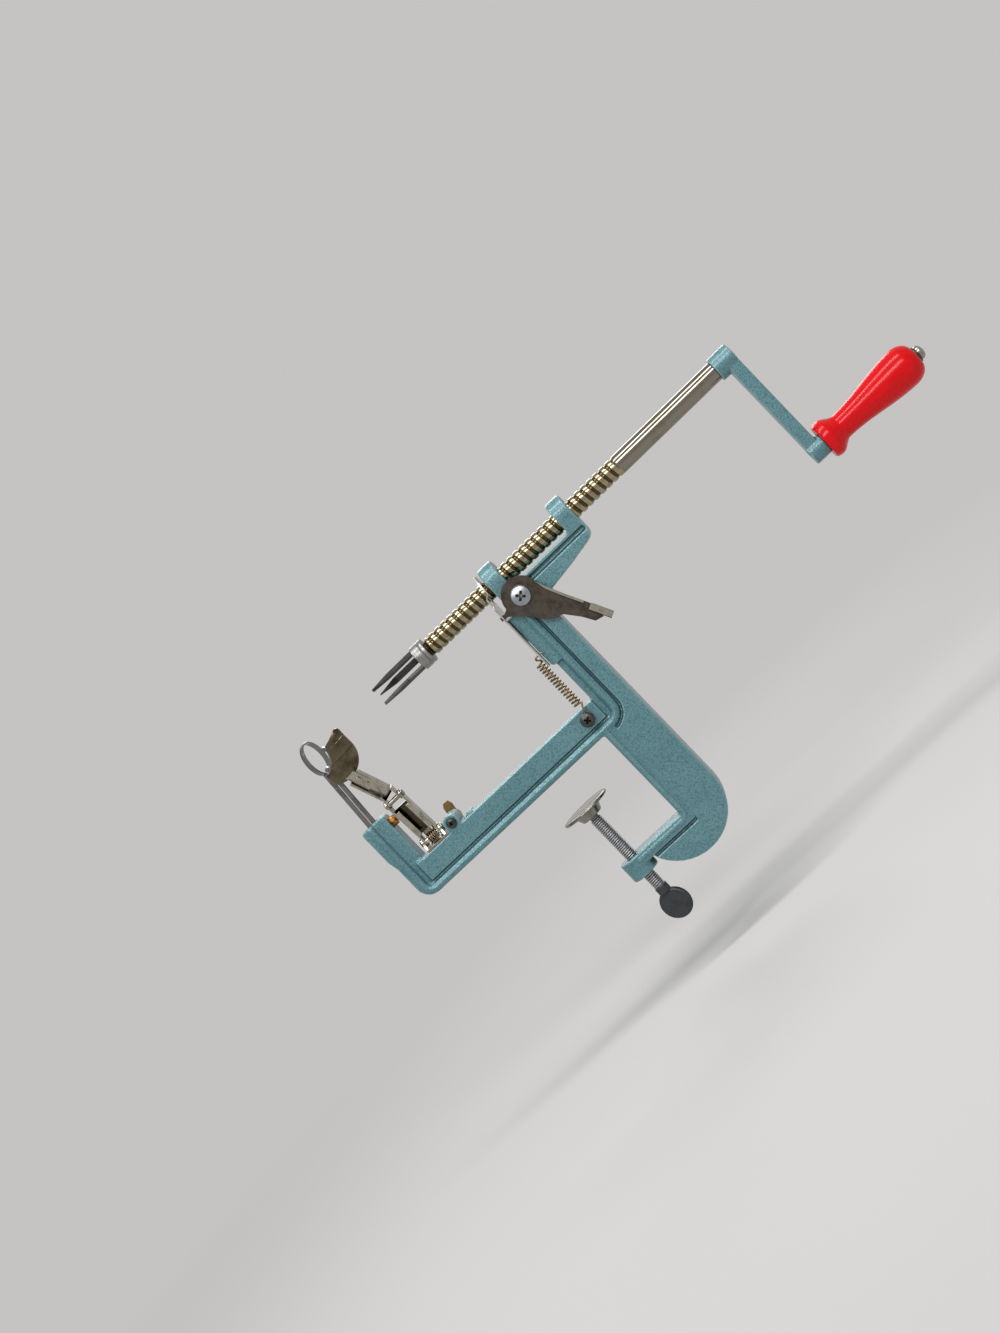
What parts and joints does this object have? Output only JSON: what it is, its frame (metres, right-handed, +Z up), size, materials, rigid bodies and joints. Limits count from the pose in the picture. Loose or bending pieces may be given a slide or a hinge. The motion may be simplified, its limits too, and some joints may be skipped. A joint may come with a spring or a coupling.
{
  "type": "apple peeler",
  "caption": "Hand-cranked apple peeler, corer and slicer: a table clamp, a screw-fed fork shaft with a half-nut release, a sprung peeling arm and a slicing ring.",
  "frame": {"origin": "on the arm's flat underside, the table seat, on the clamp screw's axis", "axes": "+X along the feed shaft towards the crank, +Z up out of the table seat"},
  "size_m": [0.439, 0.0375, 0.2385],
  "materials": {
    "frame_paint": "hammered turquoise enamel",
    "feed_screw": "nickel plate worn to a brassy tone",
    "bright_steel": "plated, satin",
    "dark_steel": "blackened",
    "collar_zinc": "cast, matt grey",
    "crank_paint": "hammered turquoise enamel",
    "grip_red": "turned, glossy red lacquer",
    "spring_steel": "drawn wire, yellow zinc",
    "clamp_zinc": "zinc plated",
    "nickel": "nickel plate, light wear",
    "blade_steel": "stainless, polished",
    "brass": "plain, tarnished"
  },
  "bodies": {
    "frame": {"frame_casting": "frame_paint", "lever_screw": "bright_steel", "spring_screw": "bright_steel", "release_spring": "spring_steel", "slicer_ring": "blade_steel", "slicer_stud": "brass", "slicer_nut": "brass", "stop_screw": "dark_steel", "wing_nut": "brass", "peel_bracket": "nickel", "bracket_screws": "bright_steel", "peel_pin": "nickel"},
    "feed": {"fork_collar": "collar_zinc"},
    "shaft": {"feed_shaft": "feed_screw", "apple_fork": "dark_steel", "crank_arm": "crank_paint", "handle_bolt": "bright_steel", "grip_washer": "dark_steel"},
    "grip": {"handle_grip": "grip_red"},
    "half_nut": {"half_nut_plate": "bright_steel"},
    "lever": {"release_lever": "bright_steel"},
    "pad": {"clamp_pad": "nickel"},
    "clamp": {"clamp_screw": "clamp_zinc"},
    "link": {"lower_link": "nickel", "knuckle_pin": "nickel", "arm_spring": "spring_steel"},
    "blade_arm": {"upper_arm": "nickel", "arm_rivets": "dark_steel", "blade_guard": "nickel", "peeling_blade": "blade_steel"}
  },
  "joints": [
    {"name": "shaft_feed", "type": "slide", "parent": "frame", "child": "feed", "axis": [-1, 0, 0], "range_m": [-0.0432, 0.1017]},
    {"name": "crank_turn", "type": "hinge", "parent": "feed", "child": "shaft", "pos_m": [0.1, 0, 0.1105], "axis": [-1, 0, 0], "range_deg": [-3060, 7200]},
    {"name": "grip_spin", "type": "hinge", "parent": "shaft", "child": "grip", "pos_m": [0.288, 0, 0.036], "axis": [1, 0, 0], "continuous": true},
    {"name": "lever_press", "type": "hinge", "parent": "frame", "child": "lever", "pos_m": [0.063, 0, 0.0948], "axis": [0, 1, 0], "range_deg": [0, 7.76], "stiffness_Nm_per_rad": 0.12, "springref_deg": -17.19},
    {"name": "half_nut_lift", "type": "slide", "parent": "frame", "child": "half_nut", "axis": [0, 0, 1], "range_m": [0, 0.0023], "deforming": ["release_spring"]},
    {"name": "clamp_travel", "type": "slide", "parent": "frame", "child": "pad", "axis": [0, 0, 1], "range_m": [-0.0325, 0.0092]},
    {"name": "clamp_turn", "type": "hinge", "parent": "pad", "child": "clamp", "pos_m": [0, 0, -0.06], "axis": [0, 0, 1], "range_deg": [-8300, 2350]},
    {"name": "peel_swing", "type": "hinge", "parent": "frame", "child": "link", "pos_m": [-0.0798, 0, 0.027], "axis": [1, 0, 0], "range_deg": [0, 45], "stiffness_Nm_per_rad": 0.12, "springref_deg": -28.65, "deforming": ["arm_spring"]},
    {"name": "blade_tilt", "type": "hinge", "parent": "link", "child": "blade_arm", "pos_m": [-0.0798, -0.00686, 0.05928], "axis": [1, 0, 0], "range_deg": [-5, 12], "stiffness_Nm_per_rad": 0.15}
  ],
  "couplings": [
    {"joint": "shaft_feed", "follows": "crank_turn", "m_per_rad": 0.00080851},
    {"joint": "lever_press", "follows": "half_nut_lift", "rad_per_m": 58.824},
    {"joint": "clamp_turn", "follows": "clamp_travel", "rad_per_m": 4456.2}
  ]
}
